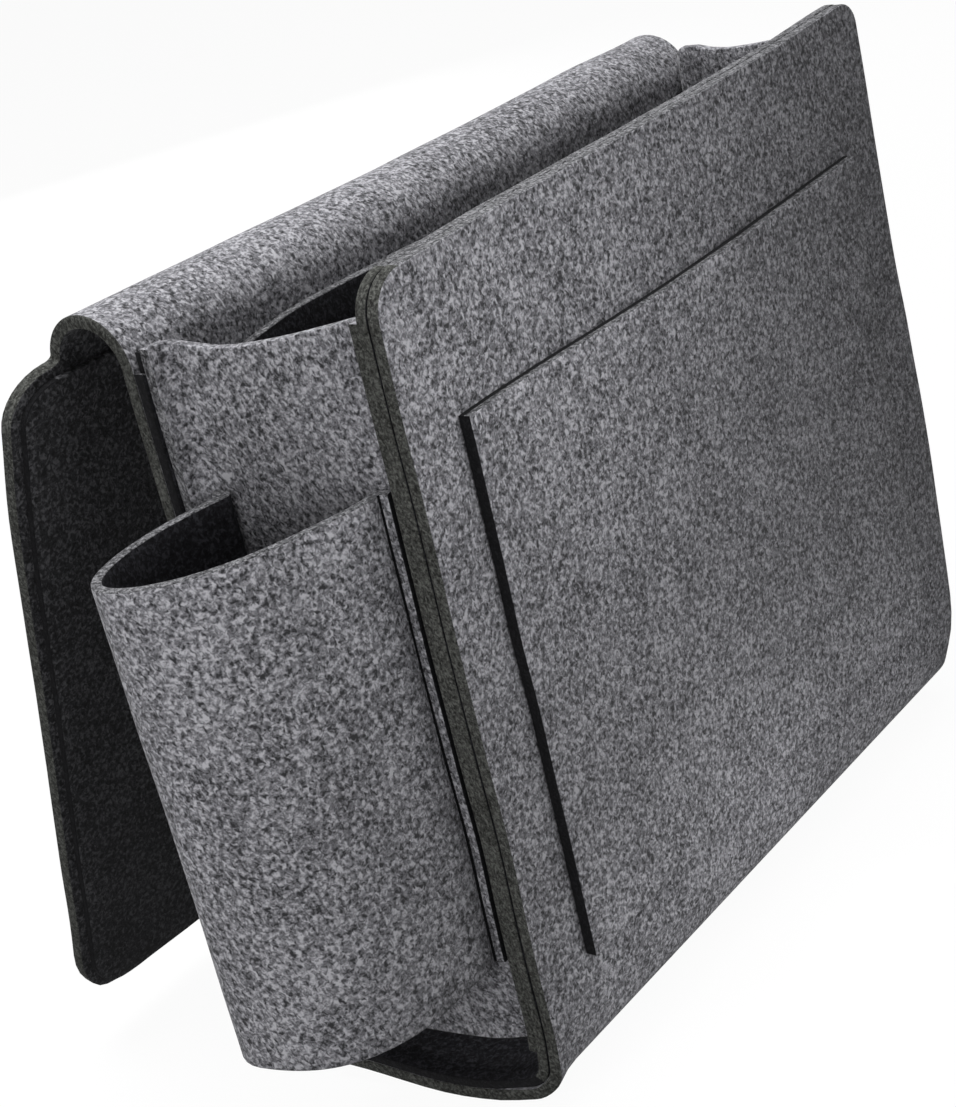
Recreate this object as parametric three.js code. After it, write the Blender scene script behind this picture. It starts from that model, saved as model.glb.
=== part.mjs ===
// Bedside caddy: an open felt pocket that hangs beside a mattress on a wide flap. One long felt sheet
// makes the front panel, the bottom and the back wall, bends over a rounded bridge and ends in the flap.
// Two gussets close the sides, which spread towards the back. A flat pocket is sewn to the front panel and
// a bottle sleeve to the left gusset.
// Millimetres, +Z up. X runs along the front panel, -Y is the front, and the origin lies on the floor
// under the middle of the pocket's bottom.

import * as THREE from 'three';

// Felt layers
const SHEET_FELT = 4;
const LINING_FELT = 3;
const FLAP_LINING_FELT = 2;
const GUSSET_FELT = 3;
const PATCH_FELT = 4;
const SLEEVE_FELT = 3;
const BASE_FELT = 3;
const SEAM_GAP = 0.3;

// Main pocket
const FRONT_WIDTH = 260;
const BACK_WIDTH = 288;
const POCKET_DEPTH = 86;
const FRONT_HEIGHT = 266;
const FRONT_CORNER_RADIUS = 12;
const FRONT_FOLD_RADIUS = 12;
const BACK_FOLD_RADIUS = 8;
const BACK_LINING_DROP = 9;

// Bridge and flap: the sheet bends over the bridge and hangs away from the back wall
const BRIDGE_DROP = 5.5;
const BRIDGE_INNER_RADIUS = 12.5;
const BRIDGE_SEGMENTS = 3;
const FLAP_LEAN = THREE.MathUtils.degToRad(15.5);
const FLAP_LENGTH = 240;
const FLAP_OVERHANG = 21;
const FLAP_FILLET_RADIUS = 7;
const FLAP_BOTTOM_RADIUS = 24;
const FLAP_LINING_INSET = 3;

// Gussets: their flanges turn outwards and end flush with the panels' side edges
const GUSSET_FLANGE = 8;
const GUSSET_BEND_RADIUS = 5;
const GUSSET_FOOT = 19;
const GUSSET_FRONT_DROP = 11;
const GUSSET_DIP_DROP = 18.5;
const GUSSET_BACK_DROP = 15;
const GUSSET_DIP_FROM_BACK = 22;
const GUSSET_SCOOP_POWER = 1.4;
const RIGHT_GUSSET_RISE = 5;
const RIGHT_GUSSET_FADE = 3.9;

// Flat pocket on the front panel
const PATCH_LEFT_MARGIN = 21;
const PATCH_RIGHT_MARGIN = 23;
const PATCH_TOP_MARGIN = 46;
const PATCH_BOTTOM_MARGIN = 45;
const PATCH_MOUTH_GAP = 2.5;

// Bottle sleeve on the left gusset. Its wall is two curves that meet at the nose, drawn by their handles.
// The front curve is fuller at the base than at the mouth.
const SLEEVE_REACH = 62;
const SLEEVE_LIFT = 52;
const SLEEVE_MOUTH_DROP = 61;
const SLEEVE_FRONT_FLANGE = 5.2;
const SLEEVE_BACK_FLANGE = 6;
const SLEEVE_BEND_RADIUS = 3;
const SLEEVE_FRONT_MARGIN = 5;
const SLEEVE_NOSE_FROM_BACK = 12;
const SLEEVE_BASE_CURVE = { outward: 48, lean: 2, atNose: 26 };
const SLEEVE_MOUTH_CURVE = { outward: 34, lean: 8, atNose: 20 };
const SLEEVE_BACK_CURVE = { outward: 30, lean: 14, atNose: 16 };
const BASE_RECESS = 3;

// Facets
const BEND_STEPS = 6;
const CORNER_STEPS = 6;
const BRIDGE_STEPS = 6;
const WEB_STEPS = 16;
const PATCH_STEPS = 14;
const SLEEVE_STEPS = 14;

const halfDepth = POCKET_DEPTH / 2;
const halfBack = BACK_WIDTH / 2;
const sheetMiddle = halfDepth - SHEET_FELT / 2;
const liningFace = halfDepth - SHEET_FELT - SEAM_GAP - LINING_FELT;
const flangeMiddle = liningFace - SEAM_GAP - GUSSET_FELT / 2;
const bridgeMiddleRadius = BRIDGE_INNER_RADIUS + SHEET_FELT / 2;
const bridgeOuterRadius = BRIDGE_INNER_RADIUS + SHEET_FELT;
const bridgeCentre = new THREE.Vector2(
  halfDepth + BRIDGE_INNER_RADIUS,
  FRONT_HEIGHT - BRIDGE_DROP - bridgeOuterRadius,
);
const bridgeSweep = Math.PI - FLAP_LEAN;
const segmentSweep = bridgeSweep / BRIDGE_SEGMENTS;
const mouthHeight = FRONT_HEIGHT - SLEEVE_MOUTH_DROP;

const greyFelt = new THREE.MeshStandardMaterial({ color: 0x6a6b6d, roughness: 0.96, metalness: 0 });
const charcoalFelt = new THREE.MeshStandardMaterial({ color: 0x222327, roughness: 0.97, metalness: 0 });

// Half the pocket's width at a distance Y from its middle
function halfWidthAt(y) {
  return THREE.MathUtils.mapLinear(y, -sheetMiddle, sheetMiddle, FRONT_WIDTH / 2, halfBack);
}

// The arc that rounds a corner between two straight stretches
function roundedCorner(before, corner, after, radius) {
  const toBefore = before.clone().sub(corner).normalize();
  const toAfter = after.clone().sub(corner).normalize();
  const halfAngle = Math.acos(toBefore.dot(toAfter)) / 2;
  const reach = radius / Math.tan(halfAngle);
  const bisector = toBefore.clone().add(toAfter).normalize();
  const centre = corner.clone().addScaledVector(bisector, radius / Math.sin(halfAngle));
  const start = corner.clone().addScaledVector(toBefore, reach).sub(centre);
  const turn = Math.sign(toAfter.cross(toBefore)) * (Math.PI - 2 * halfAngle);
  return Array.from({ length: BEND_STEPS + 1 }, (_, i) => {
    const angle = (turn * i) / BEND_STEPS;
    return start.clone().rotateAround(new THREE.Vector2(), angle).add(centre);
  });
}

// Moves a polyline sideways, to the left of its direction, and keeps each straight stretch parallel
function offsetPolyline(points, distance) {
  const directions = points.slice(1).map((point, i) => point.clone().sub(points[i]).normalize());
  return points.map((point, i) => {
    const before = directions[Math.max(i - 1, 0)];
    const after = directions[Math.min(i, directions.length - 1)];
    const bisector = before.clone().add(after).normalize();
    const normal = new THREE.Vector2(-bisector.y, bisector.x);
    return point.clone().addScaledVector(normal, distance / bisector.dot(after));
  });
}

function signedVolume(positions, index) {
  const a = new THREE.Vector3();
  const b = new THREE.Vector3();
  const c = new THREE.Vector3();
  let volume = 0;
  for (let i = 0; i < index.length; i += 3) {
    a.copy(positions[index[i]]);
    b.copy(positions[index[i + 1]]);
    c.copy(positions[index[i + 2]]);
    volume += a.dot(b.cross(c)) / 6;
  }
  return volume;
}

// A felt strip swept through its stations. A station holds the points on the strip's two long edges, near
// and far, both listed through the thickness from the first face to the second.
function sweepStrip(stations) {
  const layers = stations[0].near.length;
  const lastLayer = layers - 1;
  const lastStation = stations.length - 1;
  const positions = stations.flatMap((station) => [...station.near, ...station.far]);
  const near = (station, layer) => station * 2 * layers + layer;
  const far = (station, layer) => near(station, layer) + layers;
  const index = [];
  const quad = (a, b, c, d) => index.push(a, b, c, a, c, d);

  for (let s = 0; s < lastStation; s += 1) {
    quad(near(s, 0), near(s + 1, 0), far(s + 1, 0), far(s, 0));
    quad(near(s, lastLayer), far(s, lastLayer), far(s + 1, lastLayer), near(s + 1, lastLayer));
    for (let k = 0; k < lastLayer; k += 1) {
      quad(near(s, k), near(s, k + 1), near(s + 1, k + 1), near(s + 1, k));
      quad(far(s, k), far(s + 1, k), far(s + 1, k + 1), far(s, k + 1));
    }
  }
  for (let k = 0; k < lastLayer; k += 1) {
    quad(near(0, k), far(0, k), far(0, k + 1), near(0, k + 1));
    quad(
      near(lastStation, k),
      near(lastStation, k + 1),
      far(lastStation, k + 1),
      far(lastStation, k),
    );
  }
  if (signedVolume(positions, index) < 0) {
    index.reverse();
  }
  const geometry = new THREE.BufferGeometry();
  geometry.setFromPoints(positions);
  geometry.setIndex(index);
  geometry.computeVertexNormals();
  return geometry;
}

function namedMesh(name, geometry, material) {
  const mesh = new THREE.Mesh(geometry, material);
  mesh.name = name;
  return mesh;
}

// Distances from a strip's end at which a rounded corner gets a station, with the strip's half width there
function cornerStations(fullHalfWidth, radius) {
  return Array.from({ length: CORNER_STEPS }, (_, i) => {
    const angle = (Math.PI / 2) * (i / CORNER_STEPS);
    return {
      distance: radius * (1 - Math.cos(angle)),
      half: fullHalfWidth - radius + radius * Math.sin(angle),
    };
  });
}

// How far each layer of the sheet stops short of a fold line, so that the fold can open and close. Layers
// run from the inside of the bend to its outside. The end folds of the bridge turn half as far as those
// between its segments, so that the opened bridge comes out straight.
function foldClearances(fold) {
  const isEndFold = fold === 0 || fold === BRIDGE_SEGMENTS;
  const share = (isEndFold ? 0.5 : 1) / BRIDGE_SEGMENTS;
  const halfFelt = SHEET_FELT / 2;
  const gapAfterTurn = (angle) => SEAM_GAP / 2 + halfFelt * Math.tan((angle * share) / 2);
  return [gapAfterTurn(FLAP_LEAN), gapAfterTurn(0), gapAfterTurn(bridgeSweep)];
}

// A sheet that runs down the front, along the bottom and up the back. Its layers run from the outside of
// the pocket to its inside, which on the back wall is from the inside of the bridge's bend to its outside.
function wrapStations(inset, felt, backTop) {
  const side = halfDepth - inset;
  const frontTop = new THREE.Vector2(-side, FRONT_HEIGHT);
  const frontFold = new THREE.Vector2(-side, inset);
  const backFold = new THREE.Vector2(side, inset);
  const backEnd = new THREE.Vector2(side, backTop);
  const frontHalf = halfWidthAt(-side);
  const corner = cornerStations(frontHalf, FRONT_CORNER_RADIUS);
  const cornerPoints = corner.map(({ distance }) => new THREE.Vector2(-side, FRONT_HEIGHT - distance));
  const points = [
    ...cornerPoints,
    new THREE.Vector2(-side, FRONT_HEIGHT - FRONT_CORNER_RADIUS),
    ...roundedCorner(frontTop, frontFold, backFold, FRONT_FOLD_RADIUS - inset),
    ...roundedCorner(frontFold, backFold, backEnd, BACK_FOLD_RADIUS - inset),
    backEnd,
  ];
  const halves = points.map(({ x }, i) => (i < corner.length ? corner[i].half : halfWidthAt(x)));
  const layers = [-felt / 2, 0, felt / 2].map((shift) => offsetPolyline(points, shift));
  return points.map((_, i) => ({
    near: layers.map((layer) => new THREE.Vector3(-halves[i], layer[i].x, layer[i].y)),
    far: layers.map((layer) => new THREE.Vector3(halves[i], layer[i].x, layer[i].y)),
  }));
}

function bodySheet() {
  const stations = wrapStations(SHEET_FELT / 2, SHEET_FELT, bridgeCentre.y);
  const top = stations[stations.length - 1];
  foldClearances(0).forEach((clearance, layer) => {
    top.near[layer].z -= clearance;
    top.far[layer].z -= clearance;
  });
  return namedMesh('body_sheet', sweepStrip(stations), greyFelt);
}

function bodyLining() {
  const inset = SHEET_FELT + SEAM_GAP + LINING_FELT / 2;
  const stations = wrapStations(inset, LINING_FELT, bridgeCentre.y - BACK_LINING_DROP);
  return namedMesh('body_lining', sweepStrip(stations), charcoalFelt);
}

// One stretch of the bridge between two fold lines
function bridgeSegment(segment) {
  const radii = [BRIDGE_INNER_RADIUS, bridgeMiddleRadius, bridgeOuterRadius];
  const startClearances = foldClearances(segment);
  const endClearances = foldClearances(segment + 1);
  const stations = Array.from({ length: BRIDGE_STEPS + 1 }, (_, step) => {
    const layers = radii.map((radius, layer) => {
      let angle = segmentSweep * (segment + step / BRIDGE_STEPS);
      if (step === 0) {
        angle += startClearances[layer] / radius;
      }
      if (step === BRIDGE_STEPS) {
        angle -= endClearances[layer] / radius;
      }
      const y = bridgeCentre.x - radius * Math.cos(angle);
      const z = bridgeCentre.y + radius * Math.sin(angle);
      return { y, z };
    });
    return {
      near: layers.map(({ y, z }) => new THREE.Vector3(-halfBack, y, z)),
      far: layers.map(({ y, z }) => new THREE.Vector3(halfBack, y, z)),
    };
  });
  return namedMesh(`bridge_${segment + 1}`, sweepStrip(stations), greyFelt);
}

// The flap's outline as half widths down its length. The neck is as wide as the bridge, a fillet and a
// round shoulder widen it to its overhang, and its bottom corners are rounded. An inset outline starts
// below the fillet.
function flapOutline(inset) {
  const shoulderRadius = FLAP_OVERHANG - FLAP_FILLET_RADIUS;
  const neckEnd = halfBack + FLAP_FILLET_RADIUS;
  const fullHalf = halfBack + FLAP_OVERHANG - inset;
  const angles = Array.from({ length: CORNER_STEPS + 1 }, (_, i) => (Math.PI / 2) * (i / CORNER_STEPS));
  const fillet = angles.slice(0, -1).map((angle) => ({
    distance: FLAP_FILLET_RADIUS * Math.sin(angle),
    half: neckEnd - FLAP_FILLET_RADIUS * Math.cos(angle),
  }));
  const shoulder = angles.map((angle) => ({
    distance: FLAP_OVERHANG - (shoulderRadius - inset) * Math.cos(angle),
    half: neckEnd + (shoulderRadius - inset) * Math.sin(angle),
  }));
  const bottom = cornerStations(fullHalf, FLAP_BOTTOM_RADIUS - inset)
    .map(({ distance, half }) => ({ distance: FLAP_LENGTH - inset - distance, half }))
    .reverse();
  const sideEnd = { distance: FLAP_LENGTH - FLAP_BOTTOM_RADIUS, half: fullHalf };
  return [...(inset > 0 ? [] : fillet), ...shoulder, sideEnd, ...bottom];
}

// A flat layer of the flap, hanging down from the last fold line. Its layers run from the inside of the
// bend, which faces the back wall, to its outside.
function flapStations(inset, depths) {
  return flapOutline(inset).map(({ distance, half }) => ({
    near: depths.map((depth) => new THREE.Vector3(-half, depth, -distance)),
    far: depths.map((depth) => new THREE.Vector3(half, depth, -distance)),
  }));
}

function flapGroup() {
  const halfFelt = SHEET_FELT / 2;
  const sheetStations = flapStations(0, [-halfFelt, 0, halfFelt]);
  foldClearances(BRIDGE_SEGMENTS).forEach((clearance, layer) => {
    sheetStations[0].near[layer].z -= clearance;
    sheetStations[0].far[layer].z -= clearance;
  });
  const liningBack = -halfFelt - SEAM_GAP;
  const liningStations = flapStations(FLAP_LINING_INSET, [liningBack - FLAP_LINING_FELT, liningBack]);

  const group = new THREE.Group();
  group.position.set(
    0,
    bridgeCentre.x - bridgeMiddleRadius * Math.cos(bridgeSweep),
    bridgeCentre.y + bridgeMiddleRadius * Math.sin(bridgeSweep),
  );
  group.rotation.x = FLAP_LEAN;
  group.add(namedMesh('flap', sweepStrip(sheetStations), greyFelt));
  group.add(namedMesh('flap_lining', sweepStrip(liningStations), charcoalFelt));
  return group;
}

// Height of a gusset's scooped top edge: it falls from the front to a dip and rises a little at the back
function gussetTop(y) {
  const dipY = liningFace - GUSSET_DIP_FROM_BACK;
  const dipTop = FRONT_HEIGHT - GUSSET_DIP_DROP;
  const endDrop = y < dipY ? GUSSET_FRONT_DROP : GUSSET_BACK_DROP;
  const run = y < dipY ? dipY + liningFace : GUSSET_DIP_FROM_BACK;
  return dipTop + (GUSSET_DIP_DROP - endDrop) * (Math.abs(y - dipY) / run) ** GUSSET_SCOOP_POWER;
}

// A gusset's extra height at y: past the dip it fades, and at the back flange it is a drop
function gussetRise(y, rise) {
  const share = (y - liningFace + GUSSET_DIP_FROM_BACK) / GUSSET_DIP_FROM_BACK;
  return rise * (1 - RIGHT_GUSSET_FADE * Math.max(0, share) ** 8);
}

// Corners of a gusset's centreline in X and Y, from the edge of its front flange to that of its back one
function gussetCorners() {
  return [
    new THREE.Vector2(halfWidthAt(-flangeMiddle), -flangeMiddle),
    new THREE.Vector2(halfWidthAt(-flangeMiddle) - GUSSET_FLANGE, -flangeMiddle),
    new THREE.Vector2(halfWidthAt(flangeMiddle) - GUSSET_FLANGE, flangeMiddle),
    new THREE.Vector2(halfWidthAt(flangeMiddle), flangeMiddle),
  ];
}

function gusset(name, side, rise) {
  const [frontEdge, frontBend, backBend, backEdge] = gussetCorners();
  const front = roundedCorner(frontEdge, frontBend, backBend, GUSSET_BEND_RADIUS);
  const back = roundedCorner(frontBend, backBend, backEdge, GUSSET_BEND_RADIUS);
  const webStart = front[front.length - 1];
  const web = Array.from({ length: WEB_STEPS - 1 }, (_, i) => {
    return webStart.clone().lerp(back[0], (i + 1) / WEB_STEPS);
  });
  const line = [frontEdge, ...front, ...web, ...back, backEdge];
  const faces = [GUSSET_FELT / 2, -GUSSET_FELT / 2].map((shift) => offsetPolyline(line, shift));
  const top = (y) => gussetTop(y) + gussetRise(y, rise);
  const stations = line.map((_, i) => ({
    near: faces.map((face) => new THREE.Vector3(side * face[i].x, face[i].y, GUSSET_FOOT)),
    far: faces.map((face) => new THREE.Vector3(side * face[i].x, face[i].y, top(face[i].y))),
  }));
  return namedMesh(name, sweepStrip(stations), greyFelt);
}

// The flat pocket on the front panel: sewn down at its sides and bottom, standing a little open at its mouth
function frontPocket() {
  const left = -FRONT_WIDTH / 2 + PATCH_LEFT_MARGIN;
  const right = FRONT_WIDTH / 2 - PATCH_RIGHT_MARGIN;
  const backFace = -halfDepth - SEAM_GAP;
  const top = FRONT_HEIGHT - PATCH_TOP_MARGIN;
  const stations = Array.from({ length: PATCH_STEPS + 1 }, (_, i) => {
    const share = i / PATCH_STEPS;
    const x = THREE.MathUtils.lerp(left, right, share);
    const crown = PATCH_MOUTH_GAP * Math.sin(Math.PI * share) ** 2;
    return {
      near: [0, PATCH_FELT].map((depth) => new THREE.Vector3(x, backFace - depth, PATCH_BOTTOM_MARGIN)),
      far: [0, PATCH_FELT].map((depth) => new THREE.Vector3(x, backFace - crown - depth, top)),
    };
  });
  return namedMesh('front_pocket', sweepStrip(stations), greyFelt);
}

// The gusset's outer face, which carries the sleeve: distances run along it from its front bend to its
// back one, heights out of it. The sleeve is drawn on the right and mirrored to the left at the end.
function sleeveSeat() {
  const [, frontBend, backBend] = gussetCorners();
  const along = backBend.clone().sub(frontBend).normalize();
  const out = new THREE.Vector2(along.y, -along.x);
  const start = frontBend.clone().addScaledVector(out, GUSSET_FELT / 2);
  return {
    length: backBend.distanceTo(frontBend),
    point: (distance, height) => start.clone().addScaledVector(along, distance).addScaledVector(out, height),
    height: (point) => point.clone().sub(start).dot(out),
  };
}

// Centreline of the bottle sleeve: a flange along the gusset, the front curve out to the nose, the back
// curve in again, and the other flange
function sleeveCentreline(front) {
  const seat = sleeveSeat();
  const rise = SEAM_GAP + SLEEVE_FELT / 2;
  const frontRoot = SLEEVE_FRONT_MARGIN + SLEEVE_FRONT_FLANGE;
  const backEdge = seat.length - GUSSET_BEND_RADIUS;
  const backRoot = backEdge - SLEEVE_BACK_FLANGE;
  const nose = seat.length - SLEEVE_NOSE_FROM_BACK;
  const frontCurve = new THREE.CubicBezierCurve(
    seat.point(frontRoot, rise),
    seat.point(frontRoot + front.lean, rise + front.outward),
    seat.point(nose - front.atNose, SLEEVE_REACH),
    seat.point(nose, SLEEVE_REACH),
  );
  const backCurve = new THREE.CubicBezierCurve(
    seat.point(nose, SLEEVE_REACH),
    seat.point(nose + SLEEVE_BACK_CURVE.atNose, SLEEVE_REACH),
    seat.point(backRoot + SLEEVE_BACK_CURVE.lean, rise + SLEEVE_BACK_CURVE.outward),
    seat.point(backRoot, rise),
  );
  const frontWall = frontCurve.getPoints(SLEEVE_STEPS).slice(1);
  const backWall = backCurve.getPoints(SLEEVE_STEPS).slice(1, -1);
  const lastOfBack = backWall[backWall.length - 1];
  const frontEnd = seat.point(SLEEVE_FRONT_MARGIN, rise);
  const backEnd = seat.point(backEdge, rise);
  return [
    frontEnd,
    ...roundedCorner(frontEnd, seat.point(frontRoot, rise), frontWall[0], SLEEVE_BEND_RADIUS),
    ...frontWall,
    ...backWall,
    ...roundedCorner(lastOfBack, seat.point(backRoot, rise), backEnd, SLEEVE_BEND_RADIUS),
    backEnd,
  ];
}

// A face of the sleeve, moved sideways from the centreline, at its base and at its mouth
function sleeveFace(shift) {
  return {
    base: offsetPolyline(sleeveCentreline(SLEEVE_BASE_CURVE), shift),
    mouth: offsetPolyline(sleeveCentreline(SLEEVE_MOUTH_CURVE), shift),
  };
}

function bottleSleeve() {
  const faces = [SLEEVE_FELT / 2, -SLEEVE_FELT / 2].map(sleeveFace);
  const stations = faces[0].base.map((_, i) => ({
    near: faces.map(({ base }) => new THREE.Vector3(-base[i].x, base[i].y, SLEEVE_LIFT)),
    far: faces.map(({ mouth }) => new THREE.Vector3(-mouth[i].x, mouth[i].y, mouthHeight)),
  }));
  return namedMesh('bottle_sleeve', sweepStrip(stations), greyFelt);
}

// The sleeve's D-shaped base, set a little way up inside it, against the gusset
function bottleBase() {
  const seat = sleeveSeat();
  const { base, mouth } = sleeveFace(SLEEVE_FELT / 2 + SEAM_GAP);
  const share = (BASE_RECESS + BASE_FELT) / (mouthHeight - SLEEVE_LIFT);
  const outline = base
    .map((point, i) => point.clone().lerp(mouth[i], share))
    .filter((point) => seat.height(point) > SEAM_GAP);
  const shape = new THREE.Shape(outline.map(({ x, y }) => new THREE.Vector2(-x, y)));
  const geometry = new THREE.ExtrudeGeometry(shape, { depth: BASE_FELT, bevelEnabled: false });
  const mesh = namedMesh('bottle_base', geometry, charcoalFelt);
  mesh.position.z = SLEEVE_LIFT + BASE_RECESS;
  return mesh;
}

const caddy = new THREE.Group();
caddy.name = 'bedside_caddy';
caddy.add(bodySheet(), bodyLining());
caddy.add(gusset('left_gusset', -1, 0), gusset('right_gusset', 1, RIGHT_GUSSET_RISE));
caddy.add(frontPocket(), bottleSleeve(), bottleBase());
for (let segment = 0; segment < BRIDGE_SEGMENTS; segment += 1) {
  caddy.add(bridgeSegment(segment));
}
caddy.add(flapGroup());

export default caddy;
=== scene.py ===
"""Looks of the bedside caddy: felt sheets with rounded cut edges, stitches, materials, light and camera.

Shapes are in millimetres until the meshes are made. X runs along the front panel from the near side, which
has the bottle sleeve, to the far side. -Y is the front and +Z is up.
"""
import math

import bpy
from mathutils import Matrix, Vector, noise
from mathutils.geometry import interpolate_bezier


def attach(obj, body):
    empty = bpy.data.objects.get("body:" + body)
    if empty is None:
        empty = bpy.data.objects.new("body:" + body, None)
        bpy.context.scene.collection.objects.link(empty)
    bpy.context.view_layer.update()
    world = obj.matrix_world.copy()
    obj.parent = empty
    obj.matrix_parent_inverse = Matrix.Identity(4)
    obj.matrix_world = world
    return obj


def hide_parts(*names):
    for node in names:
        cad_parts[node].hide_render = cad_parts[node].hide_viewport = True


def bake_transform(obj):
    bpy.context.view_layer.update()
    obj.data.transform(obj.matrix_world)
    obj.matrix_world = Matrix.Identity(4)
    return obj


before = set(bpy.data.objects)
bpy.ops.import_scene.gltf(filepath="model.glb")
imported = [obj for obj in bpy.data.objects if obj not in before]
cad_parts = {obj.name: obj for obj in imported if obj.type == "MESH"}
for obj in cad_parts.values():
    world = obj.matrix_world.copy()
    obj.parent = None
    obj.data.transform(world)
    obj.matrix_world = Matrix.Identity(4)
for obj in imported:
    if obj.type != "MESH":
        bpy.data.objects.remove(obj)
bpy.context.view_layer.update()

MM = 0.001

# Sizes of the CAD part
SHEET_FELT = 4.0
LINING_FELT = 3.0
FLAP_LINING_FELT = 2.0
THIN_FELT = 3.0
PATCH_FELT = 4.0
SEAM_GAP = 0.3
FRONT_WIDTH = 260.0
BACK_WIDTH = 288.0
POCKET_DEPTH = 86.0
FRONT_HEIGHT = 266.0
FRONT_CORNER_RADIUS = 12.0
FRONT_FOLD_RADIUS = 12.0
BACK_FOLD_RADIUS = 8.0
BACK_LINING_DROP = 9.0
BRIDGE_DROP = 5.5
BRIDGE_INNER_RADIUS = 12.5
BRIDGE_SEGMENTS = 3
FLAP_LEAN = math.radians(15.5)
FLAP_LENGTH = 240.0
FLAP_OVERHANG = 21.0
FLAP_BOTTOM_RADIUS = 24.0
FLAP_LINING_INSET = 3.0
GUSSET_FLANGE = 8.0
GUSSET_BEND_RADIUS = 5.0
GUSSET_FOOT = 19.0
GUSSET_FRONT_DROP = 11.0
GUSSET_DIP_DROP = 18.5
GUSSET_BACK_DROP = 15.0
GUSSET_DIP_FROM_BACK = 22.0
GUSSET_SCOOP_POWER = 1.4
RIGHT_GUSSET_RISE = 5.0
RIGHT_GUSSET_FADE = 3.9
RIGHT_GUSSET_FADE_POWER = 8
PATCH_LEFT_MARGIN = 21.0
PATCH_RIGHT_MARGIN = 23.0
PATCH_TOP_MARGIN = 46.0
PATCH_BOTTOM = 45.0
PATCH_MOUTH_GAP = 2.5
SLEEVE_REACH = 62.0
SLEEVE_LIFT = 52.0
SLEEVE_MOUTH_DROP = 61.0
SLEEVE_FRONT_FLANGE = 5.2
SLEEVE_BACK_FLANGE = 6.0
SLEEVE_FRONT_MARGIN = 5.0
SLEEVE_NOSE_FROM_BACK = 12.0
SLEEVE_BASE_CURVE = {"outward": 48.0, "lean": 2.0, "at_nose": 26.0}
SLEEVE_MOUTH_CURVE = {"outward": 34.0, "lean": 8.0, "at_nose": 20.0}
SLEEVE_BACK_CURVE = {"outward": 30.0, "lean": 14.0, "at_nose": 16.0}
BASE_RECESS = 3.0

# Details that the CAD part has otherwise or not at all
FRONT_FAR_CORNER_RADIUS = 8.0
FLAP_FILLET_WIDTH = 3.5
FLAP_FILLET_HEIGHT = 1.5
FLAP_SHOULDER_HEIGHT = 14.0
FLANGE_SETBACK = 0.9
SLEEVE_BEND_RADIUS = 2.0
SLEEVE_BULGE = 1.4
SLEEVE_BULGE_HEIGHT = 5.0
SLEEVE_BULGE_END = 26.0
LINING_END_RISE = 8.5
LINING_NEAR_RISE = 5.0
LINING_CLEARANCE = 0.1
CORNER_FELT = 1.9
CORNER_FOOT = 237.0
CORNER_SLOPE = 6.0
CORNER_LEVEL = 2.0
CORNER_SETBACK = 0.8
NEAR_CORNER = {"width": 11.0, "top": 249.5}
FAR_CORNER = {"width": 10.0, "top": 247.5}
STITCH_LENGTH = 2.6
STITCH_PITCH = 4.2
THREAD_RADIUS = 0.32
STITCH_ARCH = 2.0
STITCH_SINK = 1.2
STITCHES_FROM_FOOT = 4.0
STITCHES_FROM_MOUTH = 2.0
FRONT_SEAM_FROM_EDGE = 1.9
BACK_SEAM_FROM_EDGE = 2.2
BASE_FROM_SEAT = 2.0

# How far the settled felt is from its pattern
WAVE = {"length": 85.0, "height": 1.1}
RIPPLE = {"length": 27.0, "height": 0.3}
WAVE_UPWARD_SHARE = 0.5
FAR_EDGE_BOW = 6.5
FAR_EDGE_TOP_DRAW = 1.0
FAR_CORNER_STAND = 1.0
FOLD_ROUNDING = 6.3
FOLD_ROUNDING_REACH = 18.0
FOLD_ROUNDING_WAY = Vector((0.54, 0.84))
FOLD_NEAR_SHARE = 0.65
BRIDGE_SAG = 2.0
BRIDGE_FAR_SAG = 4.0
BRIDGE_FAR_REACH = 5.0
BRIDGE_FAR_DROP = 2.0
FLAP_SWELL = 2.0
FLAP_DROOP = 1.6
SLEEVE_SLIMMING = 1.5
SLEEVE_STRETCH = 1.3
BOTTOM_LIFT = 6.5

# Mesh fineness, and the rounding of cut edges
STEP = 7.0
COLUMNS = 43
BEND_STEPS = 8
WALL_ROWS = 5
ARC_STEP = math.radians(3.5)
EDGE_ROUND = 0.35
ROUND_MIDDLE = 0.3
SHARP_ANGLE = math.radians(65)
GUSSET_COLUMNS = 32
PATCH_ROWS = 34
PATCH_COLUMNS = 28
SLEEVE_COLUMNS = 24
SLEEVE_FRONT_POINTS = 30
SLEEVE_BACK_POINTS = 18
BASE_COLUMNS = 8
CORNER_ROWS = 7
CORNER_COLUMNS = 6
STITCH_SIDES = 6
STITCH_RINGS = (0.0, 0.2, 0.5, 0.8, 1.0)

# Where the sheet's wall, bridge and flap are parted into pieces
WALL_JOIN = 226.0
WALL_BEND = 232.0
FLAP_JOIN = 12.0

# Sizes that follow from those above
HALF_FRONT = FRONT_WIDTH / 2
HALF_BACK = BACK_WIDTH / 2
HALF_DEPTH = POCKET_DEPTH / 2
SHEET_MIDDLE = HALF_DEPTH - SHEET_FELT / 2
LINING_FACE = HALF_DEPTH - SHEET_FELT - SEAM_GAP - LINING_FELT
FLANGE_MIDDLE = LINING_FACE - SEAM_GAP - THIN_FELT / 2
BRIDGE_MIDDLE_RADIUS = BRIDGE_INNER_RADIUS + SHEET_FELT / 2
BRIDGE_FOOT = FRONT_HEIGHT - BRIDGE_DROP - BRIDGE_INNER_RADIUS - SHEET_FELT
BRIDGE_CENTRE = Vector((SHEET_MIDDLE + BRIDGE_MIDDLE_RADIUS, BRIDGE_FOOT))
BRIDGE_SWEEP = math.pi - FLAP_LEAN
LINING_TOP = BRIDGE_FOOT - BACK_LINING_DROP
PATCH_LEFT = PATCH_LEFT_MARGIN - HALF_FRONT
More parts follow.
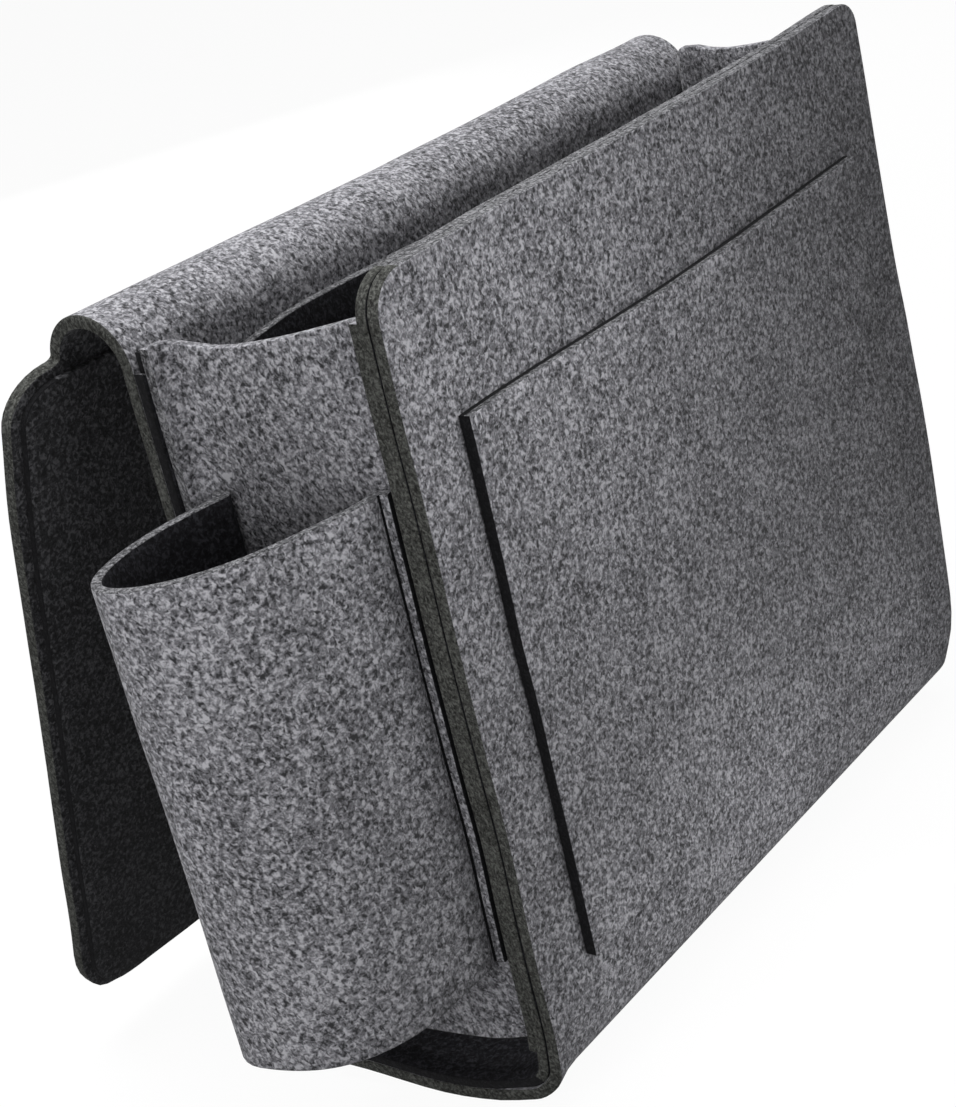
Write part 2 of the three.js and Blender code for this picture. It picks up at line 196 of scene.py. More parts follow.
PATCH_RIGHT = HALF_FRONT - PATCH_RIGHT_MARGIN
PATCH_TOP = FRONT_HEIGHT - PATCH_TOP_MARGIN
SLEEVE_MOUTH = FRONT_HEIGHT - SLEEVE_MOUTH_DROP


def smooth(value, low, high):
    """0 below low, 1 above high, and an even ease between them."""
    share = min(max((value - low) / (high - low), 0.0), 1.0)
    return share * share * (3.0 - 2.0 * share)


def spread(low, high, count):
    return [low + (high - low) * i / (count - 1) for i in range(count)]


def half_width(y):
    """Half the pocket's width at a distance y from its middle."""
    share = (y + SHEET_MIDDLE) / (2 * SHEET_MIDDLE)
    return HALF_FRONT + (HALF_BACK - HALF_FRONT) * share


# How the felt settles. The ranges that smooth gets are places in millimetres.


def front_settles(x, y, z):
    """The front's far edge bows out low down, its far top corner stands up, and its bottom fold is rounder
    than the pattern's, least at the near end. All layers of the fold move together."""
    depth = y + HALF_DEPTH
    at_front = smooth(-y, 12.0, 33.0)
    bow = FAR_EDGE_BOW * smooth(z, 2.0, 40.0) * (1.0 - smooth(z, 85.0, 245.0))
    bow -= FAR_EDGE_TOP_DRAW * smooth(z, 200.0, 255.0)
    bow *= smooth(x, 95.0, HALF_FRONT) * at_front
    stand = FAR_CORNER_STAND * smooth(x, 60.0, HALF_FRONT) * at_front * smooth(z, 200.0, 260.0)
    on_fold = math.exp(-(((depth - z) / FOLD_ROUNDING_REACH) ** 2)) * (1.0 - smooth(depth + z, 18.0, 50.0))
    from_near_end = FOLD_NEAR_SHARE + (1.0 - FOLD_NEAR_SHARE) * smooth(x, -131.0, -121.0)
    inward, upward = FOLD_ROUNDING_WAY * (FOLD_ROUNDING * on_fold * from_near_end)
    return Vector((bow, inward, stand + upward))


def back_settles(x, y, z):
    """The wall, its lining and the bridge sag, most at the far end, where the bridge also reaches out."""
    if y < LINING_FACE - LINING_CLEARANCE:
        return Vector()
    sag = BRIDGE_FAR_SAG * smooth(x, -HALF_BACK, 150.0)
    sag += BRIDGE_SAG * max(0.0, 1.0 - (x / HALF_BACK) ** 2)
    far_end = smooth(x, 100.0, HALF_BACK) * smooth(z, 225.0, 250.0) * (1.0 - smooth(y, 66.0, 80.0))
    drop = sag * smooth(z, 185.0, 240.0) + BRIDGE_FAR_DROP * far_end
    return Vector((BRIDGE_FAR_REACH * far_end, 0.0, -drop))


def flap_settles(x, y, z):
    """The flap's near edge swells high up, and its bottom edge droops away from the near corner."""
    flap_start = 70.0
    if y < flap_start:
        return Vector()
    swell = FLAP_SWELL * smooth(-x, 120.0, 165.0) * smooth(y, flap_start, 85.0) * smooth(z, 110.0, 210.0)
    droop = FLAP_DROOP * smooth(x, -150.0, -115.0) * (1.0 - smooth(z, 15.0, 120.0))
    return Vector((-swell, 0.0, -droop))


def sleeve_settles(x, y, z):
    """The sleeve is slimmer and a little longer at its foot."""
    if y > HALF_DEPTH:
        return Vector()
    slim = SLEEVE_SLIMMING * smooth(-x, 150.0, 190.0) * (1.0 - smooth(z, 60.0, 190.0))
    longer = SLEEVE_STRETCH * smooth(-x, 135.0, 160.0) * (1.0 - smooth(z, SLEEVE_LIFT, 90.0))
    return Vector((slim, 0.0, -longer))


def bottom_settles(x, y, z):
    """The bottom's near edge lifts off the floor towards the back."""
    at_back = smooth(y, -5.0, HALF_DEPTH)
    near_edge = smooth(-x, 40.0, 140.0)
    lift = BOTTOM_LIFT * at_back * near_edge * (1.0 - smooth(z, 7.0, 26.0))
    return Vector((0.0, 0.0, lift))


# Blender's noise starts from the clock unless it is given a seed
SETTLE_SEED = 2
noise.seed_set(SETTLE_SEED)


def settle(point):
    """Moves a point as soft felt departs from its flat pattern. Layers that lie together move together."""
    shift = noise.noise_vector(point / WAVE["length"]) * WAVE["height"]
    shift += noise.noise_vector(point / RIPPLE["length"]) * RIPPLE["height"]
    shift.z *= WAVE_UPWARD_SHARE
    point = point + shift * smooth(point.z, 6.0, 60.0)
    for change in (front_settles, back_settles, flap_settles, sleeve_settles, bottom_settles):
        point = point + change(*point)
    return point


# Materials


def nodes_of(owner):
    """The emptied node tree of a material or world."""
    owner.use_nodes = True
    tree = owner.node_tree
    tree.nodes.clear()
    return tree


def link(tree, source, target):
    tree.links.new(source, target)


FIBRE_SHARE = 0.66
FIBRE_DIRECTIONS = ((1.1, 0.6), (0.3, -1.9), (-0.7, -0.9))
FINE_TO_FIBRE_GRAIN = 1.9
CLOUDS_PER_METRE = 45.0
MOTTLES_PER_METRE = 240.0
FELT_WEIGHTS = {"fibres": 0.7, "fine": 0.2, "clouds": 0.16, "mottle": 0.1}
FELT_SPAN = (0.745, 1.115)
RELIEF_DEPTH = 0.0006


def fibre_noise(tree, coordinates, tilt, turn, grain):
    """Noise drawn out along one direction, which is tilted up and turned about the vertical."""
    mapping = tree.nodes.new("ShaderNodeMapping")
    mapping.vector_type = "TEXTURE"
    mapping.inputs["Rotation"].default_value = (tilt, 0.0, turn)
    mapping.inputs["Scale"].default_value = (1.0 / grain, 1.0 / (grain * FIBRE_SHARE), 1.0 / grain)
    texture = tree.nodes.new("ShaderNodeTexNoise")
    texture.inputs["Scale"].default_value = 1.0
    texture.inputs["Detail"].default_value = 1.0
    texture.inputs["Roughness"].default_value = 0.6
    texture.inputs["Distortion"].default_value = 0.6
    link(tree, coordinates, mapping.inputs["Vector"])
    link(tree, mapping.outputs["Vector"], texture.inputs["Vector"])
    return texture.outputs["Fac"]


def math_node(tree, operation, first, second):
    node = tree.nodes.new("ShaderNodeMath")
    node.operation = operation
    for socket, value in zip(node.inputs, (first, second)):
        if isinstance(value, (int, float)):
            socket.default_value = value
        else:
            link(tree, value, socket)
    return node.outputs["Value"]


def cloud_noise(tree, coordinates, scale, detail):
    texture = tree.nodes.new("ShaderNodeTexNoise")
    texture.inputs["Scale"].default_value = scale
    texture.inputs["Detail"].default_value = detail
    link(tree, coordinates, texture.inputs["Vector"])
    return texture.outputs["Fac"]


def felt_material(name, stops, grain, bump, sheen):
    """Heathered felt: light and dark fibres lying every way, with faint clouds where the blend varies.
    stops are its dark, middle and light colours, and grain is its fibres per metre."""
    material = bpy.data.materials.new(name)
    tree = nodes_of(material)
    coordinates = tree.nodes.new("ShaderNodeTexCoord").outputs["Object"]
    first, second, third = [fibre_noise(tree, coordinates, *way, grain) for way in FIBRE_DIRECTIONS]
    light_fibres = math_node(tree, "MAXIMUM", first, second)
    dark_fibres = math_node(tree, "MINIMUM", first, third)
    layers = {
        "fibres": math_node(tree, "ADD", light_fibres, dark_fibres),
        "fine": cloud_noise(tree, coordinates, grain * FINE_TO_FIBRE_GRAIN, 2.0),
        "clouds": cloud_noise(tree, coordinates, CLOUDS_PER_METRE, 3.0),
        "mottle": cloud_noise(tree, coordinates, MOTTLES_PER_METRE, 2.0),
    }
    weighted = [math_node(tree, "MULTIPLY", layers[key], weight) for key, weight in FELT_WEIGHTS.items()]
    blend = weighted[0]
    for layer in weighted[1:]:
        blend = math_node(tree, "ADD", blend, layer)

    ramp = tree.nodes.new("ShaderNodeMapRange")
    ramp.inputs["From Min"].default_value = FELT_SPAN[0]
    ramp.inputs["From Max"].default_value = FELT_SPAN[1]
    link(tree, blend, ramp.inputs["Value"])
    colours = tree.nodes.new("ShaderNodeValToRGB")
    elements = colours.color_ramp.elements
    elements[0].color = (*stops[0], 1.0)
    elements[1].color = (*stops[2], 1.0)
    middle = elements.new(0.5)
    middle.color = (*stops[1], 1.0)
    link(tree, ramp.outputs["Result"], colours.inputs["Fac"])

    relief = tree.nodes.new("ShaderNodeBump")
    relief.inputs["Strength"].default_value = bump
    relief.inputs["Distance"].default_value = RELIEF_DEPTH
    link(tree, blend, relief.inputs["Height"])

    shader = tree.nodes.new("ShaderNodeBsdfPrincipled")
    shader.inputs["Roughness"].default_value = 0.95
    shader.inputs["Specular IOR Level"].default_value = 0.15
    shader.inputs["Sheen Weight"].default_value = sheen
    shader.inputs["Sheen Roughness"].default_value = 0.6
    link(tree, colours.outputs["Color"], shader.inputs["Base Color"])
    link(tree, relief.outputs["Normal"], shader.inputs["Normal"])
    output = tree.nodes.new("ShaderNodeOutputMaterial")
    link(tree, shader.outputs["BSDF"], output.inputs["Surface"])
    return material


grey_stops = ((0.018, 0.018, 0.02), (0.142, 0.141, 0.154), (0.37, 0.368, 0.392))
# Cut-edge felt: the felt's own darker cut edge, made darker still as painted shade for edges that face
# sideways or down.
cut_and_shade_stops = ((0.011, 0.011, 0.010), (0.038, 0.039, 0.036), (0.088, 0.09, 0.084))
# A lighter copy of the cut-edge felt for edges that face up: painted light.
painted_light_rim_stops = ((0.016, 0.016, 0.017), (0.082, 0.082, 0.087), (0.21, 0.21, 0.22))
# Charcoal felt: the flap lining's and the sleeve base's own colour. On the bridge's underside and the
# flap's inner side, where the sheet is grey felt, it is painted shade.
charcoal_stops = ((0.003, 0.003, 0.0034), (0.02, 0.02, 0.022), (0.075, 0.075, 0.08))
# Charcoal darkened to about a third: the body lining's charcoal with painted shade, and painted shade on
# the sleeve's inside and the slit corners.
painted_shade_charcoal_stops = ((0.0015, 0.0015, 0.002), (0.007, 0.007, 0.0085), (0.024, 0.024, 0.028))
# Near-black felt for cut edges that lie in shadow, for slits and for creases: painted shadow.
painted_shadow_stops = ((0.001, 0.001, 0.0013), (0.003, 0.003, 0.0036), (0.009, 0.009, 0.01))
thread_stops = ((0.04, 0.04, 0.043), (0.1, 0.1, 0.107), (0.2, 0.2, 0.21))

grey_felt = felt_material("felt_grey", grey_stops, grain=740.0, bump=0.5, sheen=0.1)
# Painted light: the lighter copy of the cut-edge felt, for edges that face up.
painted_light_rim = felt_material("felt_painted_light_rim", painted_light_rim_stops, grain=1000.0, bump=0.6, sheen=0.0)
# Cut-edge felt, partly its own darker edge and partly painted shade.
cut_and_shade_felt = felt_material("felt_cut_and_shade", cut_and_shade_stops, grain=1100.0, bump=0.6, sheen=0.0)
charcoal_and_shade_felt = felt_material("felt_charcoal", charcoal_stops, grain=740.0, bump=0.5, sheen=0.02)
# Painted shade: charcoal darkened for the pocket's inside, the sleeve's inside and the slit corners.
painted_shade_charcoal = felt_material("felt_painted_shade_charcoal", painted_shade_charcoal_stops, grain=740.0, bump=0.5, sheen=0.0)
# Painted shadow: near-black felt on edges, slits and creases that lie in shadow.
painted_shadow_felt = felt_material("felt_painted_shadow", painted_shadow_stops, grain=1100.0, bump=0.5, sheen=0.0)
thread = felt_material("seam_thread", thread_stops, grain=3000.0, bump=0.4, sheen=0.05)


# Felt sheets


def miter(directions):
    """One outward direction for a border point that keeps its distance from both borders beside it."""
    total = sum(directions, Vector())
    if len(directions) == 1:
        return total
    return total / (1.0 + directions[0].dot(directions[1]))


def surface_normals(rows):
    height, width = len(rows), len(rows[0])
    normals = []
    for i in range(height):
        line = []
        for j in range(width):
            down = rows[min(i + 1, height - 1)][j] - rows[max(i - 1, 0)][j]
            sideways = rows[i][min(j + 1, width - 1)] - rows[i][max(j - 1, 0)]
            line.append(down.cross(sideways).normalized())
        normals.append(line)
    return normals


def border_loop(height, width):
    """Grid places round a sheet's border, with the side that leads on from each."""
    loop = [(i, 0, "first") for i in range(height - 1)]
    loop += [(height - 1, j, "end") for j in range(width - 1)]
    loop += [(i, width - 1, "last") for i in range(height - 1, 0, -1)]
    loop += [(0, j, "start") for j in range(width - 1, 0, -1)]
    return loop


def settled_grid(rows, joined):
    """A sheet's rows after settling, and their normals. At a join, the next piece's row counts for them."""
    lead = [joined["start"]] if "start" in joined else []
    trail = [joined["end"]] if "end" in joined else []
    settled = [[settle(point) for point in row] for row in lead + rows + trail]
    kept = slice(len(lead), len(lead) + len(rows))
    return settled[kept], surface_normals(settled)[kept]


def side_polygons(height, width, crease_slot, creases):
    """The polygons of a sheet's two sides, and their slots. On the other side, creases have their own."""
    below = height * width
    polygons = []
    slots = []
    for i in range(height - 1):
        for j in range(width - 1):
            a = i * width + j
            b = a + width
            polygons.append((a, b, b + 1, a + 1))
            slots.append(0)
            polygons.append((below + a, below + a + 1, below + b + 1, below + b))
            slots.append(crease_slot if i in creases else 1)
    return polygons, slots


def way_out(rows, normals, loop, place, joined):
    """The way out of a sheet at a place on its border, or none where it is joined on both sides."""
    i, j, side = loop[place]
    before_i, before_j, before_side = loop[place - 1]
    after_i, after_j, _ = loop[(place + 1) % len(loop)]
    outward = []
    if before_side not in joined:
        outward.append((rows[i][j] - rows[before_i][before_j]).normalized().cross(normals[i][j]))
    if side not in joined:
        outward.append((rows[after_i][after_j] - rows[i][j]).normalized().cross(normals[i][j]))
    return miter(outward) if outward else None


def edge_rings(points, rows, normals, half, loop, joined):
    """Adds the points of a sheet's rounded edge, and gives the ring of points across each border place."""
    profile = [(-ROUND_MIDDLE, half - ROUND_MIDDLE * EDGE_ROUND), (0.0, half - EDGE_ROUND), (0.0, 0.0)]
    profile += [(depth, -level) for depth, level in reversed(profile[:2])]
    width = len(rows[0])
    below = len(rows) * width
    rings = []
    for place, (i, j, _) in enumerate(loop):
        index = i * width + j
        out = way_out(rows, normals, loop, place, joined)
        if out is None:
            rings.append([index, below + index])
            continue
        points[index] = points[index] - out * EDGE_ROUND
        points[below + index] = points[below + index] - out * EDGE_ROUND
        first = len(points)
        for depth, level in profile:
            points.append(rows[i][j] + out * depth * EDGE_ROUND + normals[i][j] * level)
        rings.append([index, *range(first, first + len(profile)), below + index])
    return rings


def felt_sheet(name, rows, felt, faces, joined=None, edge_slot=None, fringe=False, creases=()):
    """A felt sheet from rows of points in its middle.

    faces: materials of the side that its normals face, of the other side and of its cut edges, and more
        that edge_slot or creases use.
    joined: for each side where the sheet runs on in another piece, that piece's nearest row. Such a side
        has no rounded edge.
    edge_slot: gives an edge's slot from its side of the border, its row, and whether it is the half of the
        edge on the first face.
    fringe: keeps the first face's felt on the rounding of the edges next to it, a lighter line that is a
    painted highlight along the edge.
    creases: rows that have the last material on the other side, for painted shade in a crease."""
    joined = joined or {}
    rows, normals = settled_grid(rows, joined)
    height, width = len(rows), len(rows[0])
    half = felt / 2
    places = [(rows[i][j], normals[i][j]) for i in range(height) for j in range(width)]
    points = [point + normal * half for point, normal in places]
    points += [point - normal * half for point, normal in places]
    polygons, slots = side_polygons(height, width, len(faces) - 1, creases)
    side_count = len(polygons)

    loop = border_loop(height, width)
    rings = edge_rings(points, rows, normals, half, loop, joined)
    for place, (i, _, side) in enumerate(loop):
        here = rings[place]
        ahead = rings[(place + 1) % len(rings)]
        if side in joined:
            polygons.append((here[0], here[-1], ahead[-1], ahead[0]))
            slots.append(0)
            continue
        for k in range(len(here) - 1):
            polygons.append((here[k], here[k + 1], ahead[k + 1], ahead[k]))
            edge = edge_slot(side, i, k < len(here) // 2) if edge_slot else 2
            # With fringe, the rounding next to the first face keeps its lighter felt: a painted highlight
            # along the edge.
            slots.append(0 if fringe and k == 0 else edge)

    piece = mesh_object(name, points, polygons, slots, faces)
    shade_joins(piece.data, normals, joined, side_count)
    return piece


def shade_joins(mesh, normals, joined, side_count):
    """Shades the sides at a join with the normals of the whole sheet, so that the join doesn't show."""
    height, width = len(normals), len(normals[0])
    below = height * width
    shared = {}
    for i, side in ((0, "start"), (height - 1, "end")):
        if side in joined:
            for j, normal in enumerate(normals[i]):
                shared[i * width + j] = normal
                shared[below + i * width + j] = -normal
    if not shared:
        return
    own = Vector()
    split_normals = []
    for polygon in mesh.polygons:
        for vertex in polygon.vertices:
            split_normals.append(shared.get(vertex, own) if polygon.index < side_count else own)
    mesh.normals_split_custom_set(split_normals)


def mesh_object(name, points, polygons, slots, materials):
    mesh = bpy.data.meshes.new(name)
    mesh.from_pydata([point * MM for point in points], [], polygons)
    for material in materials:
        mesh.materials.append(material)
    mesh.polygons.foreach_set("material_index", slots)
    mesh.polygons.foreach_set("use_smooth", [True] * len(polygons))
    mesh.update()
    mesh.set_sharp_from_angle(angle=SHARP_ANGLE)
    piece = bpy.data.objects.new(name, mesh)
    bpy.context.scene.collection.objects.link(piece)
    return piece


def straight(start, end, step=STEP):
    """Points from start to end, without start."""
    count = max(1, math.ceil((end - start).length / step))
    return [start.lerp(end, k / count) for k in range(1, count + 1)]


def rounded_corner(before, corner, after, radius):
    to_before = (before - corner).normalized()
    to_after = (after - corner).normalized()
    half_angle = to_before.angle(to_after) / 2
    bisector = (to_before + to_after).normalized()
    centre = corner + bisector * (radius / math.sin(half_angle))
    spoke = corner + to_before * (radius / math.tan(half_angle)) - centre
    turning = 1.0 if to_after.x * to_before.y - to_after.y * to_before.x > 0 else -1.0
    turn = turning * (math.pi - 2 * half_angle)
    return [centre + Matrix.Rotation(turn * k / BEND_STEPS, 2) @ spoke for k in range(BEND_STEPS + 1)]


def rounded_line(corners, radii):
    """Points along straight stretches with rounded corners."""
    line = [corners[0]]
    for before, corner, after, radius in zip(corners, corners[1:], corners[2:], radii):
        arc = rounded_corner(before, corner, after, radius)
        line += straight(line[-1], arc[0]) + arc[1:]
    return line + straight(line[-1], corners[-1])


def across(half, y, z):
    """A row of points from one side of the caddy to the other."""
    return [Vector((half * share, y, z)) for share in spread(-1.0, 1.0, COLUMNS)]


def corner_steps(radius):
    """Distances from a rounded corner's end, and how far the edge draws in at each."""
    angles = [math.pi / 2 * k / BEND_STEPS for k in range(BEND_STEPS + 1)]
    return [(radius * (1 - math.cos(angle)), radius * (1 - math.sin(angle))) for angle in angles]


def corner_in(distance, radius):
    """How far a rounded corner's edge is drawn in at a distance from the corner's end."""
    if distance >= radius:
        return 0.0
    return radius - math.sqrt(radius**2 - (radius - distance) ** 2)


def wrap_rows(inset, back_top):
    """Rows of a sheet that runs down the front, along the bottom and up the back."""
    side = HALF_DEPTH - inset
    rows = []
    half = half_width(-side)
    for distance, near_in in corner_steps(FRONT_CORNER_RADIUS)[:-1]:
        far_in = corner_in(distance, FRONT_FAR_CORNER_RADIUS)
        z = FRONT_HEIGHT - distance
        rows.append([Vector((x, -side, z)) for x in spread(near_in - half, half - far_in, COLUMNS)])
    corners = [
        Vector((-side, FRONT_HEIGHT - FRONT_CORNER_RADIUS)),
        Vector((-side, inset)),
        Vector((side, inset)),
        Vector((side, back_top)),
    ]
    radii = [FRONT_FOLD_RADIUS - inset, BACK_FOLD_RADIUS - inset]
    for y, z in rounded_line(corners, radii):
        rows.append(across(half_width(y), y, z))
    return rows


def body_sheet():
    rows = wrap_rows(SHEET_FELT / 2, WALL_JOIN)
    path, cuts = bridge_path()
    joined = {"end": path[cuts[0] + 1]}

    # The front's top edge has the lighter cut-edge felt: painted light.
    def edge_slot(side, _, __):
        return 3 if side == "start" else 2

    faces = (grey_felt, grey_felt, cut_and_shade_felt, painted_light_rim)
    return felt_sheet("sheet_body", rows, SHEET_FELT, faces, joined, edge_slot, fringe=True)


def lining_top_rise(x):
    """How far the lining's top edge at the back rises, which it does at its ends and in its near half."""
    at_end = smooth(abs(x), HALF_BACK - 16.0, HALF_BACK - 4.0)
    in_near_half = smooth(x, -125.0, -75.0) * (1.0 - smooth(x, -30.0, 40.0))
    return LINING_END_RISE * at_end + LINING_NEAR_RISE * in_near_half


def body_lining():
    """The sheet's lining, which is as wide as the wall up the back."""
    bottom_height = 8.0
    wall_foot = 14.0
    rows = wrap_rows(SHEET_FELT + SEAM_GAP + LINING_FELT / 2, LINING_TOP)
    bottom_start = next(i for i, row in enumerate(rows) if row[0].z < bottom_height)
    for i, row in enumerate(rows):
        if row[0].y > 0.0 and row[0].z > wall_foot:
            flush = (half_width(SHEET_MIDDLE) - LINING_CLEARANCE) / row[-1].x
            rows[i] = [Vector((x * flush, y, z)) for x, y, z in row]
    for point in rows[-1]:
        point.z += lining_top_rise(point.x)

    # The lining's top edges have the lighter cut-edge felt, painted light. Its side edges from the bottom
    # fold up the back are black, painted shadow.
    def edge_slot(side, i, __):
        if side in ("start", "end"):
            return 4
        return 3 if i >= bottom_start else 2

    faces = (painted_shade_charcoal, painted_shade_charcoal, cut_and_shade_felt, painted_shadow_felt, painted_light_rim)
    return felt_sheet("sheet_lining", rows, LINING_FELT + SEAM_GAP, faces, edge_slot=edge_slot)


def bridge_point(angle):
    y = BRIDGE_CENTRE.x - BRIDGE_MIDDLE_RADIUS * math.cos(angle)
    z = BRIDGE_CENTRE.y + BRIDGE_MIDDLE_RADIUS * math.sin(angle)
    return y, z


def flap_outline(inset):
    """Distances down the flap and its half width at each. An inset outline starts below the fillet."""
    shoulder_width = FLAP_OVERHANG - FLAP_FILLET_WIDTH - inset
    shoulder_height = FLAP_SHOULDER_HEIGHT - inset
    shoulder_end = FLAP_FILLET_HEIGHT + FLAP_SHOULDER_HEIGHT
    neck_end = HALF_BACK + FLAP_FILLET_WIDTH
    full_half = HALF_BACK + FLAP_OVERHANG - inset
    angles = [math.pi / 2 * k / BEND_STEPS for k in range(BEND_STEPS + 1)]
    outline = []
    if inset == 0:
        for angle in angles[:-1]:
            distance = FLAP_FILLET_HEIGHT * math.sin(angle)
            outline.append((distance, neck_end - FLAP_FILLET_WIDTH * math.cos(angle)))
    for angle in angles:
        distance = shoulder_end - shoulder_height * math.cos(angle)
        outline.append((distance, neck_end + shoulder_width * math.sin(angle)))
    bottom = FLAP_LENGTH - FLAP_BOTTOM_RADIUS
    count = math.ceil((bottom - shoulder_end) / STEP)
    outline += [(distance, full_half) for distance in spread(shoulder_end, bottom, count)[1:]]
    for distance, draw_in in reversed(corner_steps(FLAP_BOTTOM_RADIUS - inset)[:-1]):
        outline.append((FLAP_LENGTH - inset - distance, full_half - draw_in))
    return outline


def flap_row(distance, half, depth):
    """A row of the flap at a distance down from its fold line, depth in front of the sheet's middle."""
    y, z = bridge_point(BRIDGE_SWEEP)
    y += distance * math.sin(FLAP_LEAN) - depth * math.cos(FLAP_LEAN)
    z -= distance * math.cos(FLAP_LEAN) + depth * math.sin(FLAP_LEAN)
    return across(half, y, z)


def flap_sheet():
    """The flap below its join with the bridge."""
    rows = [flap_row(FLAP_JOIN, outline_half(FLAP_JOIN), 0.0)]
    rows += [flap_row(d, half, 0.0) for d, half in flap_outline(0) if d > FLAP_JOIN]
    path, cuts = bridge_path()
    joined = {"start": path[cuts[-1] - 1]}
    # The flap's inner side is charcoal though the sheet is grey felt: painted shade, running on from the
    # bridge's underside.
    faces = (charcoal_and_shade_felt, grey_felt, cut_and_shade_felt)
    return felt_sheet("sheet_flap", rows, SHEET_FELT, faces, joined, fringe=True)


def outline_half(distance):
    """The flap's half width at any distance down from its fold line."""
    outline = flap_outline(0)
    for (d0, half0), (d1, half1) in zip(outline, outline[1:]):
        if d0 <= distance <= d1:
            return half0 + (half1 - half0) * (distance - d0) / (d1 - d0)
    return outline[-1][1]


def flap_lining():
    depth = SHEET_FELT / 2 + SEAM_GAP + FLAP_LINING_FELT / 2
    rows = [flap_row(d, half, depth) for d, half in flap_outline(FLAP_LINING_INSET)]

    # The flap lining's cut edges are black, painted shadow; its top edge is charcoal.
    def edge_slot(side, _, __):
        return 0 if side == "start" else 2

    faces = (charcoal_and_shade_felt, charcoal_and_shade_felt, painted_shadow_felt)
    return felt_sheet("sheet_flap_lining", rows, FLAP_LINING_FELT, faces, edge_slot=edge_slot)


def bridge_path():
    """Rows of the sheet from just below the wall's join to just below the flap's, and the places where it
    is cut: at both joins and halfway along each segment."""
    segment = BRIDGE_SWEEP / BRIDGE_SEGMENTS
    halfway = [segment * (k + 0.5) for k in range(BRIDGE_SEGMENTS)]
    rows = [across(HALF_BACK, SHEET_MIDDLE, WALL_JOIN - STEP)]
    rows += [across(HALF_BACK, SHEET_MIDDLE, z) for z in spread(WALL_JOIN, BRIDGE_CENTRE.y, WALL_ROWS)]
    cuts = [1]
    stops = [0.0, *halfway, BRIDGE_SWEEP]
    for start, end in zip(stops, stops[1:]):
        count = math.ceil((end - start) / ARC_STEP) + 1
        rows += [across(HALF_BACK, *bridge_point(angle)) for angle in spread(start, end, count)[1:]]
        if end in halfway:
            cuts.append(len(rows) - 1)
    outline = flap_outline(0)
    rows += [flap_row(d, half, 0.0) for d, half in outline if 0 < d < FLAP_JOIN]
    rows.append(flap_row(FLAP_JOIN, outline_half(FLAP_JOIN), 0.0))
    cuts.append(len(rows) - 1)
    rows.append(flap_row(*next(place for place in outline if place[0] > FLAP_JOIN), 0.0))
    return rows, cuts


def bridge_strips():
    rows, cuts = bridge_path()
    made = []
    for k, (start, end) in enumerate(zip(cuts, cuts[1:])):
        joined = {"start": rows[start - 1], "end": rows[end + 1]}
        # After the first strip the bridge's underside is charcoal though the sheet is grey felt: painted
        # shade.
        faces = (charcoal_and_shade_felt if k else grey_felt, grey_felt, cut_and_shade_felt)
        name = f"bridge_strip_{k + 1}"
        made.append(felt_sheet(name, rows[start : end + 1], SHEET_FELT, faces, joined, fringe=True))
    return made


def gusset_top(y):
    dip = LINING_FACE - GUSSET_DIP_FROM_BACK
    drop = GUSSET_FRONT_DROP if y < dip else GUSSET_BACK_DROP
    run = dip + LINING_FACE if y < dip else GUSSET_DIP_FROM_BACK
    rise = (GUSSET_DIP_DROP - drop) * (abs(y - dip) / run) ** GUSSET_SCOOP_POWER
    return FRONT_HEIGHT - GUSSET_DIP_DROP + rise


def gusset_corners():
    front, back = half_width(-FLANGE_MIDDLE), half_width(FLANGE_MIDDLE)
    return [
        Vector((front - FLANGE_SETBACK, -FLANGE_MIDDLE)),
        Vector((front - GUSSET_FLANGE, -FLANGE_MIDDLE)),
        Vector((back - GUSSET_FLANGE, FLANGE_MIDDLE)),
        Vector((back, FLANGE_MIDDLE)),
    ]


def gusset_rise(y, rise):
    """A gusset's extra height: past the dip it fades, and at the back flange it is a drop."""
    share = (y - LINING_FACE + GUSSET_DIP_FROM_BACK) / GUSSET_DIP_FROM_BACK
    return rise * (1.0 - RIGHT_GUSSET_FADE * max(0.0, share) ** RIGHT_GUSSET_FADE_POWER)


def gusset(name, side, rise):
    rows = []
    for x, y in rounded_line(gusset_corners(), [GUSSET_BEND_RADIUS] * 2):
        top = gusset_top(y) + gusset_rise(y, rise)
        rows.append([Vector((side * x, y, z)) for z in spread(GUSSET_FOOT, top, GUSSET_COLUMNS)])

    # The gusset's top edge has the face felt and its back end the lighter cut-edge felt: painted light on
    # edges that catch it.
    def edge_slot(edge_side, _, __):
        return {"last": 0, "end": 3}.get(edge_side, 2)

    faces = (grey_felt, grey_felt, cut_and_shade_felt, painted_light_rim)
    return felt_sheet(name, rows, THIN_FELT, faces, edge_slot=edge_slot)


def slit_shadow_corner(name, side, width, top):
    """A thin dark sheet at the lining's top corner, which fills the slit between the gusset's flange and
    the wall and stands for the shadow in it: painted shadow. Its outer end is level and the rest slopes
    down."""
    y = LINING_FACE + LINING_CLEARANCE + CORNER_FELT / 2
    edge = half_width(y) - CORNER_SETBACK
    rows = []
    for x in spread(edge - width, edge, CORNER_ROWS):
        height = top - CORNER_SLOPE * (1.0 - smooth(x, edge - width, edge - CORNER_LEVEL))
        rows.append([Vector((side * x, y, z)) for z in spread(CORNER_FOOT, height, CORNER_COLUMNS)])
    return felt_sheet(name, rows, CORNER_FELT, (painted_shade_charcoal, painted_shade_charcoal, painted_shadow_felt))


